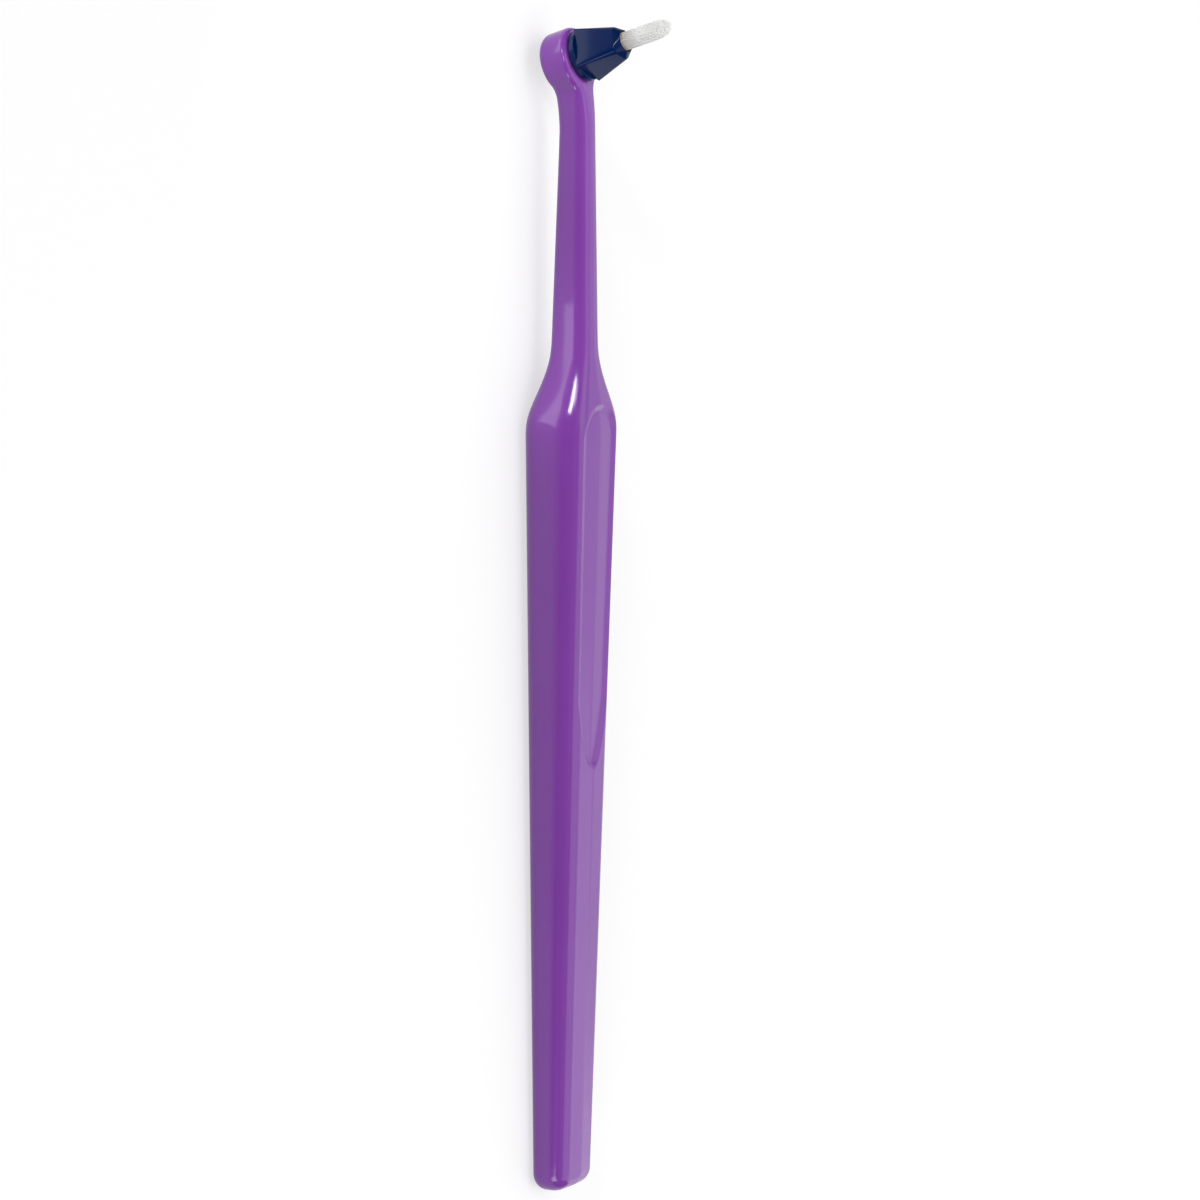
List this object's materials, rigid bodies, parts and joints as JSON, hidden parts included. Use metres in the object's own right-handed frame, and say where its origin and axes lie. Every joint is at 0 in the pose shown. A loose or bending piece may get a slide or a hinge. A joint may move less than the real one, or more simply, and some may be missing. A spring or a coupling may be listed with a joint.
{
  "type": "single tuft toothbrush",
  "caption": "Slim toothbrush with a tapering grip, a thumb recess, a thin neck and a plug-in faceted head that carries one small round tuft.",
  "frame": {"origin": "bottom centre of the box round the whole brush, on the plane of the grip's flat back", "axes": "+X along the handle to the head end, +Z to the side that the tuft faces, +Y to the left of the handle seen from above with the head pointing away"},
  "size_m": [0.1694, 0.0138, 0.0215],
  "materials": {
    "handle_plastic": "glossy purple moulding",
    "head_plastic": "glossy navy moulding",
    "anchor_metal": "plain wire-drawn metal, hidden in the tuft's hole",
    "tuft_nylon": "off-white nylon strands"
  },
  "bodies": {
    "handle_body": {"handle": "handle_plastic"},
    "head_body": {"brush_head": "head_plastic", "tuft_anchor": "anchor_metal", "bristle_tuft": "tuft_nylon"}
  },
  "joints": [
    {"name": "head_plug", "type": "slide", "parent": "handle_body", "child": "head_body", "axis": [0.299, 0, 0.9542], "range_m": [0, 0.006]}
  ]
}
